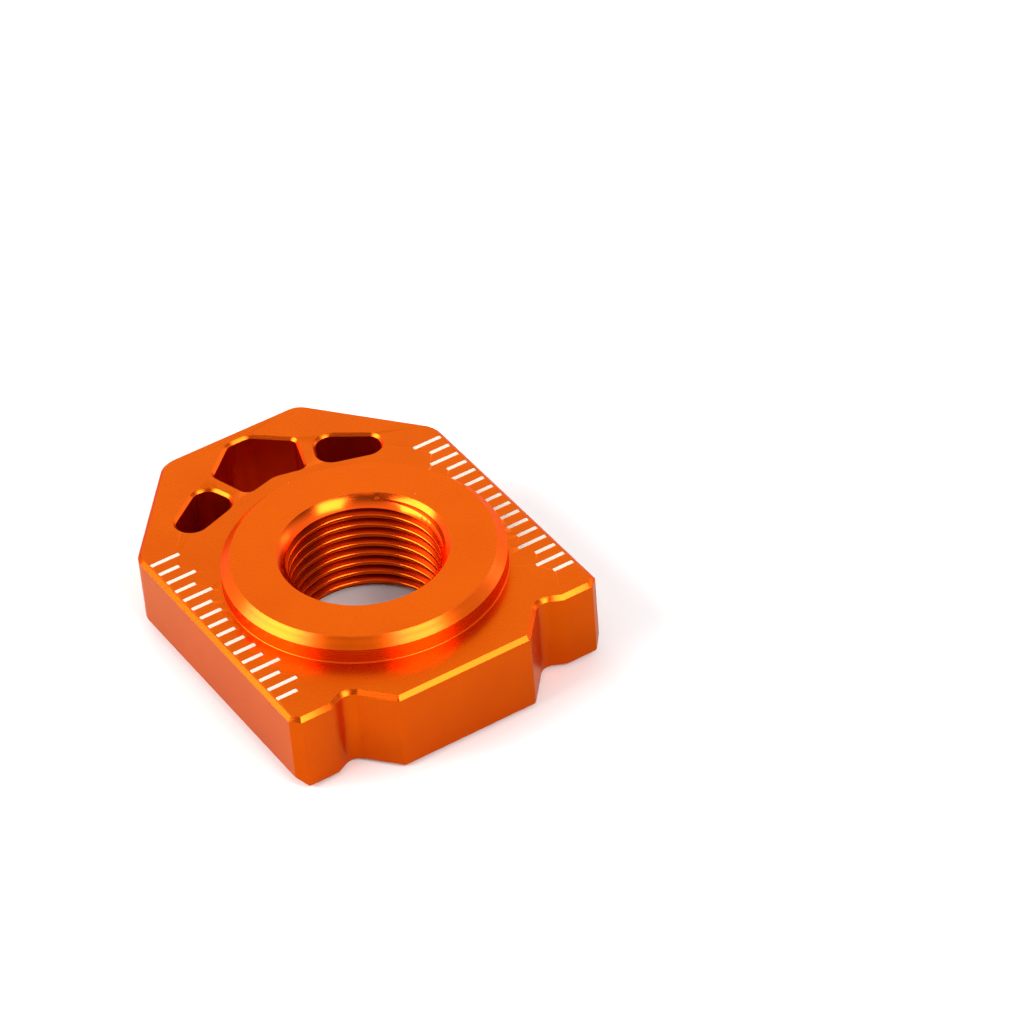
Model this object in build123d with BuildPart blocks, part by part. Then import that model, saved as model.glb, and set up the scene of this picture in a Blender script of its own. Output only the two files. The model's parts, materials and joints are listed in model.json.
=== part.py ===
import os
from math import sqrt

from build123d import *

# Axle adjuster block for the rear fork end of a motorcycle, machined from one
# piece of aluminium bar. The rear axle screws into the threaded bore, and the
# chain adjuster screw bears on the pad at the +X end.
# Frame: Z along the bore, X along the block, origin on the bore axis at the
# underside. Millimetres.

# Plate
plate_thickness = 11.0
plate_width = 42.8
bore_to_tail = 32.7
tail_width = 19.4
taper_run = 14.3
corner_radius = 3.0
edge_chamfer = 0.5
skirt_chamfer = 1.75

# End that faces the adjuster screw
bore_to_corner_pads = 18.9
bore_to_screw_pad = 22.55
screw_pad_width = 18.3
screw_pad_radius = 0.6
corner_pad_width = 5.25
corner_facet = 1.1
notch_depth = 1.4
notch_run = 2.75
notch_radius = 1.8

# Boss
boss_diameter = 34.6
boss_height = 3.15
boss_chamfer = 1.15
boss_foot_radius = 0.2

# Bore, left at the minor diameter of its M20 x 1.5 thread
bore_diameter = 18.4
mouth_diameter = 21.1
mouth_chamfer = 0.8
lead_in_depth = 0.95
exit_chamfer = 0.8

# Centre window: a peak towards the tail, two shoulders, and a foot that dips in
# at its crown towards the boss. Corner places are given before rounding.
peak_to_tail = 2.0
peak_width = 2.9
shoulder_to_peak = 4.05
shoulder_width = 11.8
foot_to_crown = 1.05
foot_width = 8.25
crown_to_boss = 4.8
peak_radius = 2.0
shoulder_radius = 1.0
crown_radius = 3.0
window_chamfer = 0.35

# Side windows: four-cornered, with a rib between each and the centre window, and
# two sides along the block, the inner and the outer one
upper_rib = 2.1
lower_rib = 1.775
inner_side_to_boss = 3.2
inner_side_run = 5.6
outer_side_to_boss = 0.4
outer_side_run = 3.7
outer_side_to_edge = 7.0
side_window_radius = 2.0
upper_outer_radius = 1.5

# Adjustment marks along both long edges
mark_count = 16
mark_pitch = 2.0
marks_before_bore = 8
mark_width = 0.65
mark_depth = 0.15
long_mark = 4.0
short_mark = 2.85
mark_edge_gap = 0.15
mark_boss_gap = 0.9

# Values that follow from the sizes above
half_width = plate_width / 2
boss_radius = boss_diameter / 2
block_height = plate_thickness + boss_height
mouth_radius = mouth_diameter / 2
bore_radius = bore_diameter / 2
mark_outer = half_width - edge_chamfer - mark_edge_gap
notch_root = bore_to_corner_pads - notch_depth
corner_pad_inner = half_width - corner_pad_width


def both_sides(half):
    """Corners of a closed outline from those on its +Y side, in order from -X to +X."""
    other = [(x, -y, r) for x, y, r in reversed(half) if y > 0]
    return half + other


def rounded_outline(corners):
    """Closed outline through (x, y, radius) corners."""
    FilletPolyline(*[(x, y) for x, y, r in corners], radius=[r for x, y, r in corners], close=True)


plate_corners = both_sides(
    [
        (-bore_to_tail, tail_width / 2, corner_radius),
        (-bore_to_tail + taper_run, half_width, corner_radius),
        (bore_to_corner_pads - corner_facet, half_width, 0),
        (bore_to_corner_pads, half_width - corner_facet, 0),
        (bore_to_corner_pads, corner_pad_inner, 0),
        (notch_root, corner_pad_inner - notch_run, notch_radius),
        (bore_to_screw_pad, screw_pad_width / 2, screw_pad_radius),
    ]
)

peak_x = -bore_to_tail + peak_to_tail
crown_x = -boss_radius - crown_to_boss
centre_window_corners = both_sides(
    [
        (peak_x, peak_width / 2, peak_radius),
        (peak_x + shoulder_to_peak, shoulder_width / 2, shoulder_radius),
        (crown_x + foot_to_crown, foot_width / 2, shoulder_radius),
        (crown_x, 0, crown_radius),
    ]
)

inner_side_x = -boss_radius - inner_side_to_boss
outer_side_x = -boss_radius - outer_side_to_boss
outer_side_y = half_width - outer_side_to_edge
side_window_corners = [
    (inner_side_x - inner_side_run, shoulder_width / 2 + upper_rib, side_window_radius),
    (outer_side_x - outer_side_run, outer_side_y, upper_outer_radius),
    (outer_side_x, outer_side_y, side_window_radius),
    (inner_side_x, foot_width / 2 + lower_rib, side_window_radius),
]


def mark_inner(x, length):
    """Inner end of the mark at x, held off the foot of the boss."""
    clear_radius = boss_radius + mark_boss_gap
    boss_edge = sqrt(max(clear_radius**2 - x**2, 0))
    return max(mark_outer - length, boss_edge)


with BuildPart() as axle_block:
    # Plate with its eased edges
    with BuildSketch():
        with BuildLine():
            rounded_outline(plate_corners)
        make_face()
    extrude(amount=plate_thickness)
    chamfer(faces().sort_by(Axis.Z)[-1].edges(), edge_chamfer)
    skirt = faces().sort_by(Axis.Z)[0].edges().filter_by(lambda edge: edge.center().X < notch_root)
    chamfer(skirt, skirt_chamfer)
    end = faces().sort_by(Axis.Z)[0].edges().filter_by(lambda edge: edge.center().X > notch_root)
    chamfer(end, edge_chamfer)

    # Windows, open from face to face, with their upper rims eased
    with BuildSketch():
        with BuildLine():
            rounded_outline(centre_window_corners)
        make_face()
        with BuildLine():
            rounded_outline(side_window_corners)
        side_window = make_face()
        mirror(side_window, about=Plane.XZ)
    extrude(amount=plate_thickness, mode=Mode.SUBTRACT)
    rims = faces().sort_by(Axis.Z)[-1].inner_wires()
    chamfer([edge for rim in rims for edge in rim.edges()], window_chamfer)

    # Boss
    with BuildSketch(Plane.XY.offset(plate_thickness)):
        Circle(boss_radius)
    extrude(amount=boss_height)
    chamfer(edges().sort_by(Axis.Z)[-1], boss_chamfer)
    plate_top_edges = edges().filter_by_position(Axis.Z, plate_thickness, plate_thickness)
    fillet(plate_top_edges.filter_by(GeomType.CIRCLE).sort_by(SortBy.RADIUS)[-1], boss_foot_radius)

    # Bore with its two-step mouth
    with BuildSketch(Plane.XZ):
        with BuildLine():
            Polyline(
                (0, 0),
                (bore_radius + exit_chamfer, 0),
                (bore_radius, exit_chamfer),
                (bore_radius, block_height - mouth_chamfer - lead_in_depth),
                (mouth_radius - mouth_chamfer, block_height - mouth_chamfer),
                (mouth_radius, block_height),
                (0, block_height),
                close=True,
            )
        make_face()
    revolve(axis=Axis.Z, mode=Mode.SUBTRACT)

    # Engraved adjustment marks
    with BuildSketch(Plane.XY.offset(plate_thickness)):
        for i in range(mark_count):
            x = (i - marks_before_bore) * mark_pitch
            inner = mark_inner(x, long_mark if i % 2 == 0 else short_mark)
            middle = (mark_outer + inner) / 2
            with Locations((x, middle), (x, -middle)):
                Rectangle(mark_width, mark_outer - inner)
    extrude(amount=-mark_depth, mode=Mode.SUBTRACT)

axle_block.part.label = "axle_block"

os.makedirs("parts", exist_ok=True)
export_step(axle_block.part, "parts/axle_block.step")
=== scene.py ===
import json
from math import atan2, ceil, cos, degrees, pi, radians, sin, sqrt, tan

import bmesh
import bpy
from mathutils import Matrix, Vector


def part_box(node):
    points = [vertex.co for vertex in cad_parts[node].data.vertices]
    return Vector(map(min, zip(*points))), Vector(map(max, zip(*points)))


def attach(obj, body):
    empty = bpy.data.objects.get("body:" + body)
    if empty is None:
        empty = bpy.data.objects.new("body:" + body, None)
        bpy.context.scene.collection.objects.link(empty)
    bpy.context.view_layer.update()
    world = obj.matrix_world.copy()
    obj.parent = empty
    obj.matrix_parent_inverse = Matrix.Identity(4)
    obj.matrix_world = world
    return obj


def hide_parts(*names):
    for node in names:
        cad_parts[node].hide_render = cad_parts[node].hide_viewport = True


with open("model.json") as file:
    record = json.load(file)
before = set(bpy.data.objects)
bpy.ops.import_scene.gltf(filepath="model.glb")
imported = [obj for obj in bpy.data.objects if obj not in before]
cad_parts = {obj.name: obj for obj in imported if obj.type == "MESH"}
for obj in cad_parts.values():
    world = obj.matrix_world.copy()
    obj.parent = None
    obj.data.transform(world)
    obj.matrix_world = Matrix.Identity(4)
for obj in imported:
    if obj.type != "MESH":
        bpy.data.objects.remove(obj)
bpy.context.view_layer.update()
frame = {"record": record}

mm = 0.001
tiny = 1e-6  # metres

# The solid's own box and mount give the sizes that the finished mesh is built on, in millimetres
blockLow, blockHigh = (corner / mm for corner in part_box("axle_block"))
halfWidth = blockHigh.y
topZ = blockHigh.z
threadMount = next(mount for mount in frame["record"]["mounts"] if mount["name"] == "axle_thread")
minorRadius = threadMount["dims"]["r_mm"]


def awayTowards(place):
    azimuth, elevation = radians(place["azimuth"]), radians(place["elevation"])
    return Vector((cos(azimuth) * cos(elevation), sin(azimuth) * cos(elevation), sin(elevation)))


# Camera, where the photograph was taken from
cameraView = {
    "azimuth": -29.73,  # degrees from +X, towards the camera
    "elevation": 39.45,
    "roll": -4.7,
    "focalLength": 168.43,  # on a 36 mm sensor
    "aim": (-2.41, 22.27, 7.0),  # the middle of the frame, behind the block and to its right
    "distance": 589.4,
    "clipStart": 10.0,
}


def addCamera():
    back = awayTowards(cameraView)
    right = Vector((0, 0, 1)).cross(back).normalized()
    up = back.cross(right)
    roll = radians(cameraView["roll"])
    right, up = right * cos(roll) + up * sin(roll), up * cos(roll) - right * sin(roll)
    lens = bpy.data.cameras.new("camera")
    lens.lens = cameraView["focalLength"]
    lens.clip_start = cameraView["clipStart"] * mm
    camera = bpy.data.objects.new("camera", lens)
    turned = Matrix((right, up, back)).transposed().to_4x4()
    place = (Vector(cameraView["aim"]) + back * cameraView["distance"]) * mm
    camera.matrix_world = Matrix.Translation(place) @ turned
    bpy.context.scene.collection.objects.link(camera)
    bpy.context.scene.camera = camera


addCamera()
print("camera placed")


def addNode(tree, kind, inputs=None, **settings):
    node = tree.nodes.new("ShaderNode" + kind)
    for name, value in settings.items():
        setattr(node, name, value)
    for key, value in (inputs or {}).items():
        if isinstance(value, bpy.types.NodeSocket):
            tree.links.new(value, node.inputs[key])
        else:
            node.inputs[key].default_value = value
    return node


def addMath(tree, operation, *values):
    return addNode(tree, "Math", dict(enumerate(values)), operation=operation).outputs[0]


def addNoise(tree, place, scale, detail):
    return addNode(tree, "TexNoise", {"Vector": place, "Scale": scale, "Detail": detail}).outputs["Fac"]


def mapRange(tree, value, start, end, low=0.0, high=1.0, blend="LINEAR"):
    inputs = {"Value": value, "From Min": start, "From Max": end, "To Min": low, "To Max": high}
    return addNode(tree, "MapRange", inputs, interpolation_type=blend).outputs[0]


def mixColours(tree, factor, first, second):
    # Sockets 6, 7 and output 2 are the mix node's colours
    return addNode(tree, "Mix", {0: factor, 6: first, 7: second}, data_type="RGBA").outputs[2]


def mixValues(tree, factor, first, second):
    return addNode(tree, "Mix", {0: factor, 2: first, 3: second}).outputs[0]


def inMillimetres(tree):
    place = addNode(tree, "TexCoord").outputs["Object"]
    return addNode(tree, "VectorMath", {"Vector": place, "Scale": 1 / mm}, operation="SCALE").outputs[0]


def newGroup(name, inputs, outputs):
    group = bpy.data.node_groups.new(name, "ShaderNodeTree")
    for socketName, value in inputs.items():
        kind = "NodeSocketColor" if isinstance(value, tuple) else "NodeSocketFloat"
        socket = group.interface.new_socket(socketName, in_out="INPUT", socket_type=kind)
        socket.default_value = value
    for socketName, kind in outputs.items():
        group.interface.new_socket(socketName, in_out="OUTPUT", socket_type="NodeSocket" + kind)
    given = group.nodes.new("NodeGroupInput").outputs
    result = group.nodes.new("NodeGroupOutput").inputs
    return group, given, result


# How the effects are broken up. Scales are per millimetre, except for the lines, which go by their
# spacing. A range goes from where an effect starts to where it is full.
texture = {
    "patchDetail": 2.0,
    "mottleScale": 2.5,
    "mottleDetail": 3.0,
    "dyeRange": (0.3, 0.7),
    "noiseShare": 0.5,  # of plain noise in the height of the blasted dents
    "noiseDetail": 2.0,
    "swayScale": 0.6,  # slow wander of the cutter
    "swayDetail": 1.0,
    "lineScale": 1.0,
    "lineDetail": 3.0,
    "lineRoughness": 0.7,
    "edgeSamples": 6,
    "edgeRange": (0.995, 0.93),  # cosine of the surface's turn
    "wearScale": 1.7,
    "wearDetail": 4.0,
    "wearRange": (0.35, 0.65),
    "speckScale": 0.35,
}


def makeColourDrift():
    # Slow change between a colour and its deeper copy, with a finer mottle in it. For some finishes the
    # colours are painted light, not dye
    group, given, result = newGroup(
        "colourDrift",
        {"Given Colour": (1, 1, 1, 1), "Deeper Colour": (0, 0, 0, 1), "Patch Size": 12.0, "Mottle": 0.3},
        {"Color": "Color"},
    )
    place = inMillimetres(group)
    patchScale = addMath(group, "DIVIDE", 1.0, given["Patch Size"])
    patches = addNoise(group, place, patchScale, texture["patchDetail"])
    fine = addNoise(group, place, texture["mottleScale"], texture["mottleDetail"])
    depth = mapRange(group, mixValues(group, given["Mottle"], patches, fine), *texture["dyeRange"])
    group.links.new(mixColours(group, depth, given["Given Colour"], given["Deeper Colour"]), result["Color"])
    return group


def makeBlastGrain():
    # Small overlapping dents of glass-bead blasting
    group, given, result = newGroup(
        "blastGrain", {"Dent Size": 0.12}, {"Height": "Float", "Tone": "Float"}
    )
    place = inMillimetres(group)
    scale = addMath(group, "DIVIDE", 1.0, given["Dent Size"])
    dents = addNode(
        group, "TexVoronoi", {"Vector": place, "Scale": scale}, feature="SMOOTH_F1"
    ).outputs["Distance"]
    rough = addNoise(group, place, scale, texture["noiseDetail"])
    group.links.new(mixValues(group, texture["noiseShare"], dents, rough), result["Height"])
    group.links.new(rough, result["Tone"])
    return group


def makeCutterLines():
    # Fine lines left by a cutter, as it stepped outwards from the bore, upwards and along the plate.
    # Round gives lines round the bore, Upwards level ones on a wall, and Along upright ones.
    group, given, result = newGroup(
        "cutterLines",
        {"Round": 1.0, "Upwards": 1.0, "Along": 0.0, "Spacing": 0.1, "Waver": 0.3},
        {"Height": "Float", "Tone": "Float"},
    )
    place = inMillimetres(group)
    x, y, z = addNode(group, "SeparateXYZ", {0: place}).outputs
    square = addMath(group, "ADD", addMath(group, "MULTIPLY", x, x), addMath(group, "MULTIPLY", y, y))
    outward = addMath(group, "MULTIPLY", addMath(group, "SQRT", square), given["Round"])
    upward = addMath(group, "MULTIPLY", z, given["Upwards"])
    level = addMath(group, "MULTIPLY", addMath(group, "SUBTRACT", x, y), given["Along"])
    sway = addNoise(group, place, texture["swayScale"], texture["swayDetail"])
    across = addMath(group, "ADD", addMath(group, "ADD", outward, upward), level)
    across = addMath(group, "ADD", across, addMath(group, "MULTIPLY", sway, given["Waver"]))
    step = addMath(group, "DIVIDE", across, given["Spacing"])
    lines = addNode(
        group, "TexNoise",
        {
            "W": step, "Scale": texture["lineScale"],
            "Detail": texture["lineDetail"], "Roughness": texture["lineRoughness"],
        },
        noise_dimensions="1D",
    ).outputs["Fac"]
    group.links.new(lines, result["Height"])
    group.links.new(lines, result["Tone"])
    return group


def makeEdgeWear():
    # Where the surface turns within a short way, broken up so that it isn't even
    group, given, result = newGroup("edgeWear", {"Width": 0.1, "Amount": 0.5}, {"Worn": "Float"})
    radius = addMath(group, "MULTIPLY", given["Width"], mm)
    rounded = addNode(group, "Bevel", {"Radius": radius}, samples=texture["edgeSamples"]).outputs[0]
    flat = addNode(group, "NewGeometry").outputs["Normal"]
    match = addNode(group, "VectorMath", {0: rounded, 1: flat}, operation="DOT_PRODUCT").outputs["Value"]
    edge = mapRange(group, match, *texture["edgeRange"])
    broken = addNoise(group, inMillimetres(group), texture["wearScale"], texture["wearDetail"])
    patchy = mapRange(group, broken, *texture["wearRange"])
    worn = addMath(group, "MULTIPLY", addMath(group, "MULTIPLY", edge, patchy), given["Amount"])
    group.links.new(worn, result["Worn"])
    return group


def makeDust():
    # A few pale specks
    group, given, result = newGroup(
        "dustSpecks", {"Amount": 0.5, "Speck Size": 0.15}, {"Speck": "Float"}
    )
    place = inMillimetres(group)
    cells = addNode(group, "TexVoronoi", {"Vector": place, "Scale": texture["speckScale"]})
    spot = mapRange(group, cells.outputs["Distance"], given["Speck Size"], 0.0)
    chance = addNode(group, "SeparateColor", {0: cells.outputs["Color"]}).outputs[0]
    kept = addMath(group, "LESS_THAN", chance, given["Amount"])
    group.links.new(addMath(group, "MULTIPLY", spot, kept), result["Speck"])
    return group


colourDrift = makeColourDrift()
blastGrain = makeBlastGrain()
cutterLines = makeCutterLines()
edgeWear = makeEdgeWear()
dustSpecks = makeDust()
print("finish groups made")

# The narrow flat that breaks every sharp edge of the block
brokenEdge = {
    "width": 0.05,
    "segments": 2,
    "overAngle": 30.0,  # degrees between two faces, over which their edge is broken
    "sharpOver": 35.0,  # degrees, over which shading keeps an edge sharp
}

# Light and deep dye of the finishes. Some pairs are painted light instead of dye, as marked below
dyesAndPaintedLight = {
    "blasted": ((0.73, 0.108, 0.001, 1), (0.67, 0.092, 0.001, 1)),
    # painted light: a lighter copy of the dye, for the top face of the boss
    "faced": ((0.78, 0.112, 0.001, 1), (0.72, 0.098, 0.001, 1)),
    # painted highlight: a lighter copy of the dye, for the boss's wall and chamfer and the thread's
    # crests
    "bright": ((0.92, 0.122, 0.001, 1), (0.86, 0.106, 0.001, 1)),
    "milled": ((0.74, 0.088, 0.001, 1), (0.69, 0.078, 0.001, 1)),
    "sides": ((0.75, 0.104, 0.001, 1), (0.69, 0.090, 0.001, 1)),
    # painted shade: a darker, redder copy of the dye, for the walls inside the windows
    "shaded": ((0.76, 0.055, 0.001, 1), (0.70, 0.045, 0.001, 1)),
    # painted shade: a much darker copy of the dye, for the thread's flanks in the grooves
    "deep": ((0.46, 0.022, 0.001, 1), (0.40, 0.017, 0.001, 1)),
    # painted highlight: a lighter copy of the dye, for the bore's chamfers and walls
    "bored": ((0.92, 0.098, 0.001, 1), (0.86, 0.086, 0.001, 1)),
}

# Colour of the metal where it is seen at a glancing angle
edgeTints = {
    "pale": (1, 0.84, 0.7, 1),
    "sides": (1, 0.92, 0.78, 1),
    "cut": (1, 0.45, 0.3, 1),
}

cutterMarks = {
    "milled": {"Round": 0.0, "Upwards": 1.0, "Along": 0.0, "Spacing": 0.16, "Waver": 0.5},
    "turned": {"Round": 1.0, "Upwards": 0.7, "Along": 0.0, "Spacing": 0.09, "Waver": 0.05},
    "window": {"Round": 0.0, "Upwards": 0.05, "Along": 0.7, "Spacing": 0.9, "Waver": 0.2},
    "thread": {"Round": 1.0, "Upwards": -0.58, "Along": 0.0, "Spacing": 0.07, "Waver": 0.02},
}

# What the metal finishes share
anodised = {
    "patchSize": 9.0,  # millimetres of one patch of lighter or deeper dye
    "toneRange": (0.3, 0.7),
    "wearReach": 2,  # widths of a broken edge
    "bareEdge": (0.9, 0.36, 0.12, 1),
    "dust": (0.75, 0.6, 0.5, 1),
    "speckSize": 0.03,  # of the way between specks
    "coatRoughness": 0.2,
    "highlightTurn": 0.25,  # of a full turn, so that highlights spread across the lines
}

finishes = {
    "blastedMetal": {
        "dyeAndPaintedLight": "blasted", "edgeTint": "pale", "roughness": (0.26, 0.32),
        "dentSize": 0.12, "bumpHeight": 0.0018, "wear": 0.2, "dust": 0.3,
    },
    "sideMetal": {
        "dyeAndPaintedLight": "sides", "edgeTint": "sides", "roughness": (0.28, 0.34),
        "dentSize": 0.12, "bumpHeight": 0.0014, "wear": 0.15,
    },
    "milledMetal": {
        "dyeAndPaintedLight": "milled", "edgeTint": "cut", "roughness": (0.24, 0.30),
        "lines": "milled", "bumpHeight": 0.0001, "coat": 0.08,
    },
    # the boss's top face, in a lighter copy of the dye that paints light on it
    "facedMetal": {
        "dyeAndPaintedLight": "faced", "edgeTint": "pale", "roughness": (0.25, 0.31),
        "dentSize": 0.12, "bumpHeight": 0.0017, "wear": 0.15, "dust": 0.3,
    },
    # boss wall, in the lighter copy of the dye that paints highlight on it
    "turnedWallMetal": {
        "dyeAndPaintedLight": "bright", "edgeTint": "cut", "roughness": (0.25, 0.30), "anisotropy": 0.72,
        "lines": "turned", "bumpHeight": 0.0004, "dust": 0.3, "coat": 0.08,
    },
    # boss chamfer, in the lighter copy of the dye that paints highlight on it
    "turnedChamferMetal": {
        "dyeAndPaintedLight": "bright", "edgeTint": "cut", "roughness": (0.34, 0.40), "anisotropy": 0.7,
        "lines": "turned", "bumpHeight": 0.0005, "wear": 0.1, "dust": 0.3, "coat": 0.12,
    },
    # bore's chamfers and walls, in the lighter copy of the dye that paints highlight on them
    "boredMetal": {
        "dyeAndPaintedLight": "bored", "edgeTint": "cut", "roughness": (0.18, 0.24), "anisotropy": 0.2,
        "lines": "turned", "bumpHeight": 0.0004, "wear": 0.1, "coat": 0.12,
    },
    # window walls, in the darker copy of the dye that paints shade on them
    "windowMetal": {
        "dyeAndPaintedLight": "shaded", "edgeTint": "cut", "roughness": (0.26, 0.34),
        "lines": "window", "bumpHeight": 0.0001,
    },
    # thread flanks, in the much darker copy of the dye that paints shade in the grooves
    "flankMetal": {
        "dyeAndPaintedLight": "deep", "edgeTint": "cut", "roughness": (0.24, 0.30),
        "lines": "thread", "bumpHeight": 0.0002,
    },
    # thread crests, in the lighter copy of the dye that paints highlight on them
    "crestMetal": {
        "dyeAndPaintedLight": "bright", "edgeTint": "cut", "roughness": (0.16, 0.22),
        "lines": "thread", "bumpHeight": 0.0001, "coat": 0.1,
    },
}


def newMaterial(name):
    material = bpy.data.materials.new(name)
    material.use_nodes = True
    tree = material.node_tree
    return material, tree, tree.nodes["Principled BSDF"]


def makeMetal(name):
    finish = finishes[name]
    material, tree, shader = newMaterial(name)
    # Colour pair of the finish: dye, except where the table paints highlight or shade with a lighter or
    # darker copy
    light, deep = dyesAndPaintedLight[finish["dyeAndPaintedLight"]]
    colour = addNode(
        tree, "Group", {"Given Colour": light, "Deeper Colour": deep, "Patch Size": anodised["patchSize"]},
        node_tree=colourDrift,
    ).outputs["Color"]
    if "dentSize" in finish:
        surface = addNode(tree, "Group", {"Dent Size": finish["dentSize"]}, node_tree=blastGrain)
    else:
        surface = addNode(tree, "Group", cutterMarks[finish["lines"]], node_tree=cutterLines)
    roughness = mapRange(
        tree, surface.outputs["Tone"], *anodised["toneRange"], *finish["roughness"]
    )
    if "wear" in finish:
        width = brokenEdge["width"] * anodised["wearReach"]
        worn = addNode(
            tree, "Group", {"Width": width, "Amount": finish["wear"]}, node_tree=edgeWear
        ).outputs["Worn"]
        colour = mixColours(tree, worn, colour, anodised["bareEdge"])
    if "dust" in finish:
        speck = addNode(
            tree, "Group", {"Amount": finish["dust"], "Speck Size": anodised["speckSize"]},
            node_tree=dustSpecks,
        ).outputs["Speck"]
        colour = mixColours(tree, speck, colour, anodised["dust"])
    bump = addNode(
        tree, "Bump", {"Height": surface.outputs["Height"], "Distance": finish["bumpHeight"] * mm}
    ).outputs["Normal"]
    tree.links.new(colour, shader.inputs["Base Color"])
    tree.links.new(roughness, shader.inputs["Roughness"])
    tree.links.new(bump, shader.inputs["Normal"])
    shader.inputs["Metallic"].default_value = 1.0
    shader.inputs["Specular Tint"].default_value = edgeTints[finish["edgeTint"]]
    shader.inputs["Coat Weight"].default_value = finish.get("coat", 0.0)
    shader.inputs["Coat Roughness"].default_value = anodised["coatRoughness"]
    if "anisotropy" in finish:
        shader.inputs["Anisotropic"].default_value = finish["anisotropy"]
        shader.inputs["Anisotropic Rotation"].default_value = anodised["highlightTurn"]
        tangent = addNode(tree, "Tangent", direction_type="RADIAL", axis="Z").outputs[0]
        tree.links.new(tangent, shader.inputs["Tangent"])
    return material


blockFinishes = [makeMetal(name) for name in finishes]

# Slots of the block's mesh, in the order of its finishes
(
    blasted, sides, milled, faced, turnedWall, turnedChamfer, bored, windowCut, flanks, crests
) = range(len(finishes))

paintFinish = {
    "light": (0.60, 0.51, 0.42, 1),
    "deep": (0.54, 0.45, 0.36, 1),
    "cloudScale": 3.0,
    "cloudDetail": 4.0,
    "grainScale": 9.0,
    "grainDetail": 3.0,
    "grainHeight": 0.004,
    "roughness": (0.45, 0.65),
}


def makePaint():
    material, tree, shader = newMaterial("markPaint")
    place = inMillimetres(tree)
    cloud = addNoise(tree, place, paintFinish["cloudScale"], paintFinish["cloudDetail"])
    colour = mixColours(tree, cloud, paintFinish["light"], paintFinish["deep"])
    grain = addNoise(tree, place, paintFinish["grainScale"], paintFinish["grainDetail"])
    bump = addNode(
        tree, "Bump", {"Height": grain, "Distance": paintFinish["grainHeight"] * mm}
    ).outputs["Normal"]
    roughness = mapRange(tree, grain, 0.0, 1.0, *paintFinish["roughness"])
    tree.links.new(colour, shader.inputs["Base Color"])
    tree.links.new(roughness, shader.inputs["Roughness"])
    tree.links.new(bump, shader.inputs["Normal"])
    return material


# Lighter to the camera than to the block over it, because the photograph overexposes the paper
paperFinish = {
    "toBlock": (0.53, 0.53, 0.53, 1),
    "toCamera": (0.73, 0.73, 0.73, 1),
    "fibreScale": 0.7,
    "fibreDetail": 4.0,
    "fibreHeight": 0.01,
    "roughness": 0.9,
    "shine": 0.1,
}


def makePaper():
    material, tree, shader = newMaterial("floorPaper")
    fibre = addNoise(tree, inMillimetres(tree), paperFinish["fibreScale"], paperFinish["fibreDetail"])
    bump = addNode(
        tree, "Bump", {"Height": fibre, "Distance": paperFinish["fibreHeight"] * mm}
    ).outputs["Normal"]
    seen = addNode(tree, "LightPath").outputs["Is Camera Ray"]
    colour = mixColours(tree, seen, paperFinish["toBlock"], paperFinish["toCamera"])
    tree.links.new(colour, shader.inputs["Base Color"])
    tree.links.new(bump, shader.inputs["Normal"])
    shader.inputs["Roughness"].default_value = paperFinish["roughness"]
    shader.inputs["Specular IOR Level"].default_value = paperFinish["shine"]
    return material


markPaint = makePaint()
floorPaper = makePaper()
print("materials made")

# Plate in plan, in millimetres from the bore's axis
plate = {
    "thickness": 11.0,
    "cornerRadius": 3.0,
    "tailHalfWidth": 9.7,
    "taperRun": 14.3,
    "cornerPadX": 18.9,
    "cornerPadWidth": 5.25,
    "facet": 1.1,
    "notchDepth": 1.4,
    "notchRun": 2.75,
    "notchRadius": 1.8,
    "screwPadHalfWidth": 9.15,
    "screwPadRadius": 0.6,
    "edge": 0.5,  # chamfer on every upper edge, and under the near end
    "skirt": 1.75,  # chamfer under the sides, the tapers and the tail
    "arcStep": 7.0,  # degrees of a rounded corner to one face
}
plateTop = plate["thickness"]


def mirrored(half):
    return half + [(x, -y, *rest) for x, y, *rest in reversed(half) if y > 0]


def plateCorners(runOut):
    # Plan corners with their radius and lower chamfer, clockwise from the tail. Between the facet
    # and the notch the pad has a point more, this far in from the side, where the skirt can run out.
    tailX, padX = blockLow.x, plate["cornerPadX"]
    edge, skirt = plate["edge"], plate["skirt"]
    padInner = halfWidth - plate["cornerPadWidth"]
    return mirrored([
        (tailX, plate["tailHalfWidth"], plate["cornerRadius"], skirt),
        (tailX + plate["taperRun"], halfWidth, plate["cornerRadius"], skirt),
        (padX - plate["facet"], halfWidth, 0, skirt),
        (padX, halfWidth - plate["facet"], 0, edge),
        (padX, halfWidth - runOut, 0, edge),
        (padX, padInner, 0, edge),
        (padX - plate["notchDepth"], padInner - plate["notchRun"], plate["notchRadius"], edge),
        (blockHigh.x, plate["screwPadHalfWidth"], plate["screwPadRadius"], edge),
    ])


def outlinePoints(corners, inset=0.0, arcStep=plate["arcStep"]):
    # Points of a clockwise outline moved in by inset, each with its corner's own lower chamfer.
    # An inset of None moves each corner by that chamfer.
    points = []
    for index, (x, y, radius, *lower) in enumerate(corners):
        here = Vector((x, y))
        before = (here - Vector(corners[index - 1][:2])).normalized()
        after = (Vector(corners[(index + 1) % len(corners)][:2]) - here).normalized()
        inBefore, inAfter = Vector((before.y, -before.x)), Vector((after.y, -after.x))
        turn = atan2(before.cross(after), before.dot(after))
        side = 1 if turn < 0 else -1  # 1 where the corner is convex
        mitre = (inBefore + inAfter) / (1 + inBefore.dot(inAfter))
        own = lower[0] if inset is None else inset
        if radius == 0:
            points.append((here + mitre * own, lower))
            continue
        centre = here + side * mitre * radius
        faces = max(2, round(abs(degrees(turn)) / arcStep))
        start = atan2(-side * inBefore.y, -side * inBefore.x)
        for face in range(faces + 1):
            angle = start + turn * face / faces
            points.append((centre + (radius - side * own) * Vector((cos(angle), sin(angle))), lower))
    return points


def addRing(bm, points):
    return [bm.verts.new(Vector(point) * mm) for point in points]


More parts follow.
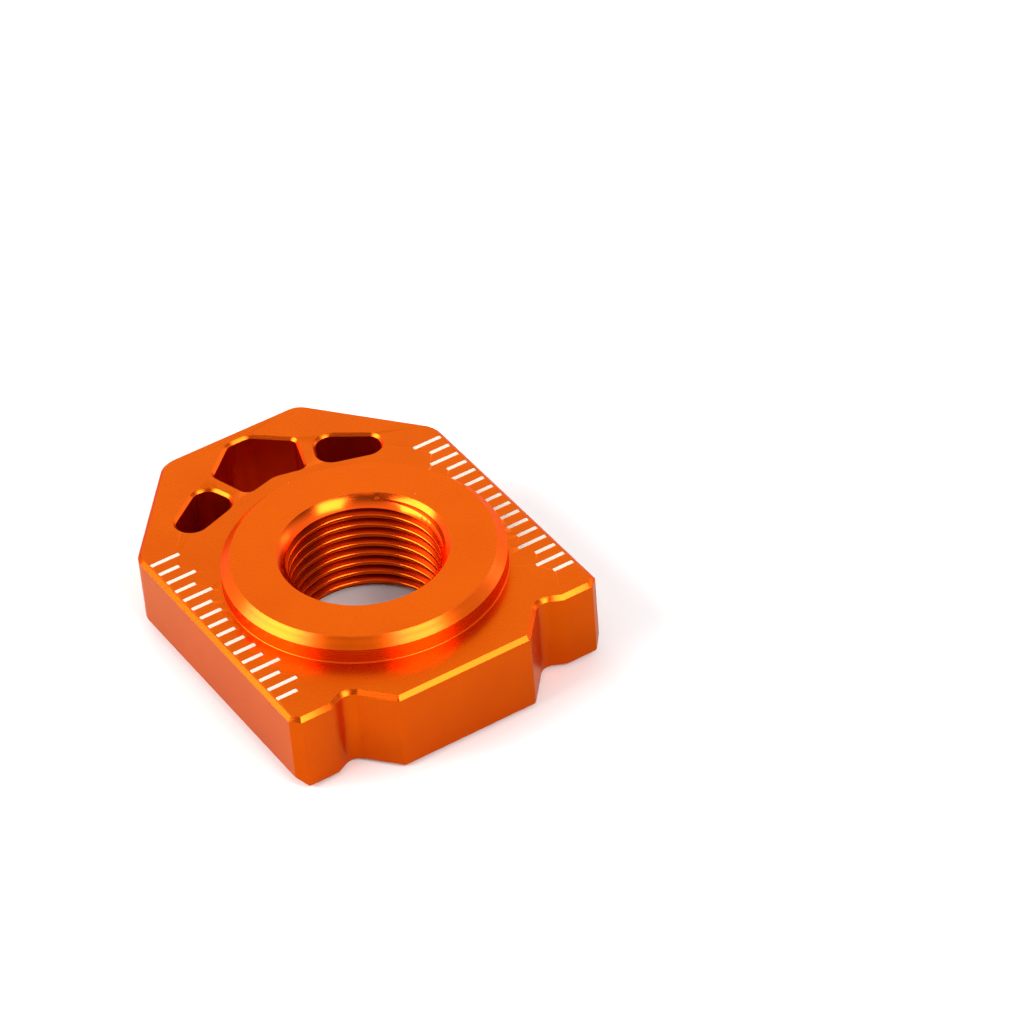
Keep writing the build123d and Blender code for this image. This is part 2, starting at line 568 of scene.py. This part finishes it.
def flatRing(bm, corners, inset, z, arcStep=plate["arcStep"]):
    return addRing(bm, [(*point, z) for point, lower in outlinePoints(corners, inset, arcStep)])


def joinRings(bm, rings, slots):
    for upper, lower, slot in zip(rings, rings[1:], slots):
        for index in range(len(upper)):
            corners = (upper[index - 1], upper[index], lower[index], lower[index - 1])
            bm.faces.new(corners).material_index = slot


def closeLevel(bm, z, slot):
    # Fills the flat face at this height, between its outline and its holes
    edges = [
        edge for edge in bm.edges
        if edge.is_boundary and all(abs(vert.co.z - z * mm) < tiny for vert in edge.verts)
    ]
    filled = bmesh.ops.triangle_fill(bm, edges=edges, use_beauty=True)
    for face in filled["geom"]:
        if isinstance(face, bmesh.types.BMFace):
            face.material_index = slot


def skirtRings(bm, corners):
    # Wall's lower edge, and the underside's outline. The skirt runs out across the facet and the pad.
    skirtY = halfWidth - plate["skirt"]
    wall = [
        (*point, max(lower, abs(point.y) - skirtY)) for point, (lower,) in outlinePoints(corners)
    ]
    under = [
        (point.x, max(-skirtY, min(skirtY, point.y)), 0) for point, lower in outlinePoints(corners, None)
    ]
    return [addRing(bm, wall), addRing(bm, under)]


def addPlate(bm):
    edge = plate["edge"]
    outline = plateCorners(plate["facet"] + edge)
    rings = [flatRing(bm, outline, edge, plateTop), flatRing(bm, outline, 0, plateTop - edge)]
    rings += skirtRings(bm, plateCorners(plate["skirt"] - edge))
    joinRings(bm, rings, [milled, sides, milled])


boss = {
    "radius": 17.3,
    "chamfer": 1.15,
    "footRadius": 0.2,
    "footSteps": 5,
    "columns": 256,
}

bore = {
    "mouthRadius": 10.55,
    "mouthChamfer": 0.8,
    "leadIn": 0.95,
    "exitChamfer": 0.8,
    "underCut": 0.1,  # the blank's bore is this much tighter than the thread's crests
}


def roundRing(bm, radius, z):
    angles = [2 * pi * column / boss["columns"] for column in range(boss["columns"])]
    return addRing(bm, [(radius * cos(angle), radius * sin(angle), z) for angle in angles])


def bossProfile():
    # Radius, height and slot of each ring, from the foot of the boss over its top and down the bore
    foot, radius, steps = boss["footRadius"], boss["radius"], boss["footSteps"]
    plain = minorRadius - bore["underCut"]
    coneEdge = bore["mouthRadius"] - bore["mouthChamfer"]
    leadSlope = bore["leadIn"] / (coneEdge - minorRadius)
    coneZ = topZ - bore["mouthChamfer"]
    footRings = [
        (radius + foot * (1 - sin(angle)), plateTop + foot * (1 - cos(angle)), milled)
        for angle in (pi / 2 * step / steps for step in range(steps))
    ]
    return footRings + [
        (radius, plateTop + foot, turnedWall),
        (radius, topZ - boss["chamfer"], turnedChamfer),
        (radius - boss["chamfer"], topZ, faced),
        (bore["mouthRadius"], topZ, bored),
        (coneEdge, coneZ, bored),
        (plain, coneZ - leadSlope * (coneEdge - plain), flanks),
        (plain, bore["exitChamfer"] + bore["underCut"], bored),
        (minorRadius + bore["exitChamfer"], 0, bored),
    ]


def addBoss(bm):
    profile = bossProfile()
    rings = [roundRing(bm, radius, z) for radius, z, slot in profile]
    joinRings(bm, rings, [slot for radius, z, slot in profile])


# Windows, placed from the tail, the boss and the sides. The centre one has a peak towards the tail,
# two shoulders, and a foot that dips in at its crown. A rib stands between it and each side window.
windows = {
    "edge": 0.35,
    "peakToTail": 2.0,
    "peakHalfWidth": 1.45,
    "peakRadius": 2.0,
    "shoulderToPeak": 4.05,
    "shoulderHalfWidth": 5.9,
    "shoulderRadius": 1.0,
    "footToCrown": 1.05,
    "footHalfWidth": 4.125,
    "crownToBoss": 4.8,
    "crownRadius": 3.0,
    "upperRib": 2.1,
    "lowerRib": 1.775,
    "innerSideToBoss": 3.2,
    "innerSideRun": 5.6,
    "outerSideToBoss": 0.4,
    "outerSideRun": 3.7,
    "outerSideToEdge": 7.0,
    "sideRadius": 2.0,
    "upperOuterRadius": 1.5,
}


def windowCorners():
    peakX = blockLow.x + windows["peakToTail"]
    crownX = -boss["radius"] - windows["crownToBoss"]
    shoulderY, footY = windows["shoulderHalfWidth"], windows["footHalfWidth"]
    centre = mirrored([
        (peakX, windows["peakHalfWidth"], windows["peakRadius"]),
        (peakX + windows["shoulderToPeak"], shoulderY, windows["shoulderRadius"]),
        (crownX + windows["footToCrown"], footY, windows["shoulderRadius"]),
        (crownX, 0, windows["crownRadius"]),
    ])
    innerX = -boss["radius"] - windows["innerSideToBoss"]
    outerX = -boss["radius"] - windows["outerSideToBoss"]
    outerY = halfWidth - windows["outerSideToEdge"]
    side = [
        (innerX - windows["innerSideRun"], shoulderY + windows["upperRib"], windows["sideRadius"]),
        (outerX - windows["outerSideRun"], outerY, windows["upperOuterRadius"]),
        (outerX, outerY, windows["sideRadius"]),
        (innerX, footY + windows["lowerRib"], windows["sideRadius"]),
    ]
    otherSide = [(x, -y, radius) for x, y, radius in reversed(side)]
    return centre, side, otherSide


def addWindows(bm):
    rim = windows["edge"]
    levels = ((-rim, plateTop), (0, plateTop - rim), (0, 0))
    for corners in windowCorners():
        rings = [flatRing(bm, corners, inset, z) for inset, z in levels]
        joinRings(bm, rings, [milled, windowCut])


marks = {
    "count": 16,
    "pitch": 2.0,
    "beforeBore": 8,  # on the tail's side of the bore
    "width": 0.65,
    "depth": 0.15,
    "long": 4.0,
    "short": 2.85,
    "edgeGap": 0.15,
    "bossGap": 0.9,
    "endRadius": 0.16,
    "arcStep": 22.5,
    "paintGap": 0.01,
    "paintDrop": 0.03,
    "paintEase": 0.03,
}


def markCorners():
    outer = halfWidth - plate["edge"] - marks["edgeGap"]
    clear = boss["radius"] + marks["bossGap"]
    half, radius = marks["width"] / 2, marks["endRadius"]
    for index in range(marks["count"]):
        x = (index - marks["beforeBore"]) * marks["pitch"]
        length = marks["short"] if index % 2 else marks["long"]
        inner = max(outer - length, sqrt(max(clear**2 - x**2, 0)))
        for low, high in ((inner, outer), (-outer, -inner)):
            yield [
                (x - half, low, radius), (x - half, high, radius),
                (x + half, high, radius), (x + half, low, radius),
            ]


def addMarks(bm):
    levels = (plateTop, plateTop - marks["depth"])
    for corners in markCorners():
        rings = [flatRing(bm, corners, 0, z, marks["arcStep"]) for z in levels]
        joinRings(bm, rings, [milled])
        bm.faces.new(rings[-1]).material_index = milled


def buildBlank():
    # The block before its bore is tapped
    bm = bmesh.new()
    addPlate(bm)
    addWindows(bm)
    addMarks(bm)
    addBoss(bm)
    bmesh.ops.remove_doubles(bm, verts=bm.verts, dist=tiny)
    closeLevel(bm, plateTop, blasted)
    closeLevel(bm, 0, blasted)
    return bm


thread = {
    "pitch": 1.5,
    "majorRadius": 10.0,
    "flankAngle": 30.0,
    "crestRadius": 0.2,
    "rootRadius": 0.1,
    "arcSteps": 4,
    "grooveAngle": 150.3,  # degrees round the bore, at its far side
    "grooveHeight": 12.21,  # middle of the uppermost groove there
    "columns": 192,
}


def grooveProfile():
    # One turn of the thread as (height, radius), from the middle of a groove to the next
    pitch, major, flank = thread["pitch"], thread["majorRadius"], radians(thread["flankAngle"])
    root, crest = thread["rootRadius"], thread["crestRadius"]
    rootEnd = pitch / 16  # half of the groove's floor, before it is rounded
    crestStart = rootEnd + (major - minorRadius) * tan(flank)
    turn = pi / 2 - flank
    angles = [turn * step / thread["arcSteps"] for step in range(thread["arcSteps"] + 1)]
    rootStart, crestEnd = rootEnd - root * tan(turn / 2), crestStart + crest * tan(turn / 2)
    rise = [(rootStart + root * sin(angle), major - root * (1 - cos(angle))) for angle in angles]
    rise += [
        (crestEnd - crest * sin(angle), minorRadius + crest * (1 - cos(angle)))
        for angle in reversed(angles)
    ]
    fall = [(pitch - height, radius) for height, radius in reversed(rise)]
    return [(0, major), *rise, (pitch / 2, minorRadius), *fall]


def closeTapEnds(bm):
    openEdges = [edge for edge in bm.edges if edge.is_boundary]
    middle = topZ / 2 * mm
    for end in (-1, 1):
        edges = [edge for edge in openEdges if (edge.verts[0].co.z - middle) * end > 0]
        reach = end * max(vert.co.z * end for edge in edges for vert in edge.verts)
        tip = bm.verts.new((0, 0, reach))
        for edge in edges:
            bm.faces.new((*edge.verts, tip))


def buildTap():
    # A right-hand tap, longer than the block, whose rows of vertices follow its helix
    columns, pitch = thread["columns"], thread["pitch"]
    crestDepth = thread["crestRadius"] * (1 - sin(radians(thread["flankAngle"])))
    crestLimit = minorRadius + crestDepth + tiny / mm
    profile = grooveProfile()
    rows = len(profile)
    grooveAtZero = thread["grooveHeight"] - pitch * thread["grooveAngle"] / 360
    below = ceil((grooveAtZero + pitch) / pitch) + 1
    start = grooveAtZero - below * pitch
    count = ceil((topZ + pitch - start) / pitch) * rows

    bm = bmesh.new()
    grid = []
    for row in range(count + 1):
        height, radius = profile[row % rows]
        grid.append(addRing(bm, [
            (
                radius * cos(2 * pi * column / columns),
                radius * sin(2 * pi * column / columns),
                start + height + pitch * (row // rows + column / columns),
            )
            for column in range(columns)
        ]))
    for row in range(count):
        widest = max(profile[row % rows][1], profile[(row + 1) % rows][1])
        slot = crests if widest < crestLimit else flanks
        here, above = grid[row], grid[row + 1]
        for column in range(columns - 1):
            corners = (here[column], here[column + 1], above[column + 1], above[column])
            bm.faces.new(corners).material_index = slot
        if row + rows < count:
            corners = (here[-1], grid[row + rows][0], grid[row + rows + 1][0], above[-1])
            bm.faces.new(corners).material_index = slot
    closeTapEnds(bm)
    for face in bm.faces:
        face.smooth = True
    return bm


def buildPaint():
    # A closed slab of paint on the floor of each mark's pocket
    gap, ease = marks["paintGap"], marks["paintEase"]
    paintTop = plateTop - marks["paintDrop"]
    levels = ((gap + ease, paintTop), (gap, paintTop - ease), (gap, plateTop - marks["depth"]))
    bm = bmesh.new()
    for corners in markCorners():
        rings = [flatRing(bm, corners, inset, z, marks["arcStep"]) for inset, z in levels]
        joinRings(bm, rings, [0, 0])
        bm.faces.new(rings[0])
        bm.faces.new(rings[-1])
    return bm


def meshObject(name, bm, materials):
    bmesh.ops.recalc_face_normals(bm, faces=bm.faces)
    mesh = bpy.data.meshes.new(name)
    bm.to_mesh(mesh)
    bm.free()
    for material in materials:
        mesh.materials.append(material)
    piece = bpy.data.objects.new(name, mesh)
    bpy.context.scene.collection.objects.link(piece)
    return piece


def applyModifiers(piece):
    bpy.context.view_layer.update()
    evaluated = piece.evaluated_get(bpy.context.evaluated_depsgraph_get())
    mesh = bpy.data.meshes.new_from_object(evaluated)
    old, piece.data = piece.data, mesh
    mesh.name = piece.name
    bpy.data.meshes.remove(old)
    piece.modifiers.clear()


def breakEdges(piece):
    eased = piece.modifiers.new("broken edges", "BEVEL")
    eased.width = brokenEdge["width"] * mm
    eased.segments = brokenEdge["segments"]
    eased.limit_method = "ANGLE"
    eased.angle_limit = radians(brokenEdge["overAngle"])
    eased.material = milled
    eased.miter_outer = "MITER_ARC"
    applyModifiers(piece)


def tapBore(piece):
    tap = meshObject("tap", buildTap(), blockFinishes)
    tapped = piece.modifiers.new("tapped bore", "BOOLEAN")
    tapped.operation = "DIFFERENCE"
    tapped.solver = "EXACT"
    tapped.material_mode = "INDEX"
    tapped.object = tap
    applyModifiers(piece)
    bpy.data.objects.remove(tap)


def smoothShade(piece):
    piece.data.polygons.foreach_set("use_smooth", [True] * len(piece.data.polygons))
    piece.data.set_sharp_from_angle(angle=radians(brokenEdge["sharpOver"]))
    weighted = piece.modifiers.new("weighted normals", "WEIGHTED_NORMAL")
    weighted.keep_sharp = True
    applyModifiers(piece)


block = meshObject("axle_block_finished", buildBlank(), blockFinishes)
breakEdges(block)
print("blank built:", len(block.data.polygons), "faces")

tapBore(block)
smoothShade(block)
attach(block, "root")
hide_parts("axle_block")
print("bore tapped:", len(block.data.polygons), "faces")

paint = meshObject("mark_paint", buildPaint(), [markPaint])
smoothShade(paint)
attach(paint, "root")
print("marks painted")

# Studio. Places are given in degrees round the block and above the floor, sizes in metres.
studio = {
    "floorWidth": 3.0,
    "room": {
        "low": 20,  # the horizon's brightness reaches up to here
        "high": 48,  # and the overhead one starts here
        "horizon": 1.05,
        "overhead": 0.14,
    },
    "softboxes": {
        "left": {
            "azimuth": 250, "elevation": 34.5, "distance": 1.4,
            "width": 1.18, "height": 0.73, "brightness": 9.8,
        },
        "right": {
            "azimuth": 12.5, "elevation": 41, "distance": 1.4,
            "width": 0.74, "height": 0.68, "brightness": 9.4,
        },
        "back": {
            "azimuth": 150, "elevation": 45, "distance": 1.6,
            "width": 2.6, "height": 1.9, "brightness": 0.76,
        },
        "strip": {
            "azimuth": 87, "elevation": 17, "distance": 1.4,
            "width": 0.36, "height": 0.3, "brightness": 1.8,
        },
        "ceiling": {
            "azimuth": 0, "elevation": 90, "distance": 1.4,
            "width": 1.4, "height": 1.4, "brightness": 0.9,
        },
    },
}


def addFloor():
    bm = bmesh.new()
    bmesh.ops.create_grid(bm, x_segments=1, y_segments=1, size=studio["floorWidth"] / 2)
    floor = meshObject("floor", bm, [floorPaper])


def addSoftbox(name, box):
    light = bpy.data.lights.new(name, "AREA")
    light.shape = "RECTANGLE"
    light.size, light.size_y = box["width"], box["height"]
    light.energy = box["brightness"] * pi * box["width"] * box["height"]
    away = awayTowards(box)
    softbox = bpy.data.objects.new(name, light)
    softbox.location = away * box["distance"]
    softbox.rotation_euler = away.to_track_quat("Z", "Y").to_euler()
    softbox.visible_camera = False
    bpy.context.scene.collection.objects.link(softbox)


def addRoom():
    # Bright at the horizon and dark overhead
    walls = studio["room"]
    low, high = (sin(radians(walls[key])) for key in ("low", "high"))
    room = bpy.data.worlds.new("room")
    room.use_nodes = True
    tree = room.node_tree
    towards = addNode(tree, "TexCoord").outputs["Generated"]
    height = addNode(tree, "SeparateXYZ", {0: towards}).outputs["Z"]
    level = mapRange(tree, height, low, high, walls["horizon"], walls["overhead"], "SMOOTHSTEP")
    background = tree.nodes["Background"]
    background.inputs["Color"].default_value = (1, 1, 1, 1)
    tree.links.new(level, background.inputs["Strength"])
    bpy.context.scene.world = room


addFloor()
for name, box in studio["softboxes"].items():
    addSoftbox(name, box)
addRoom()
bpy.context.scene.view_settings.view_transform = "Standard"
print("studio lit")
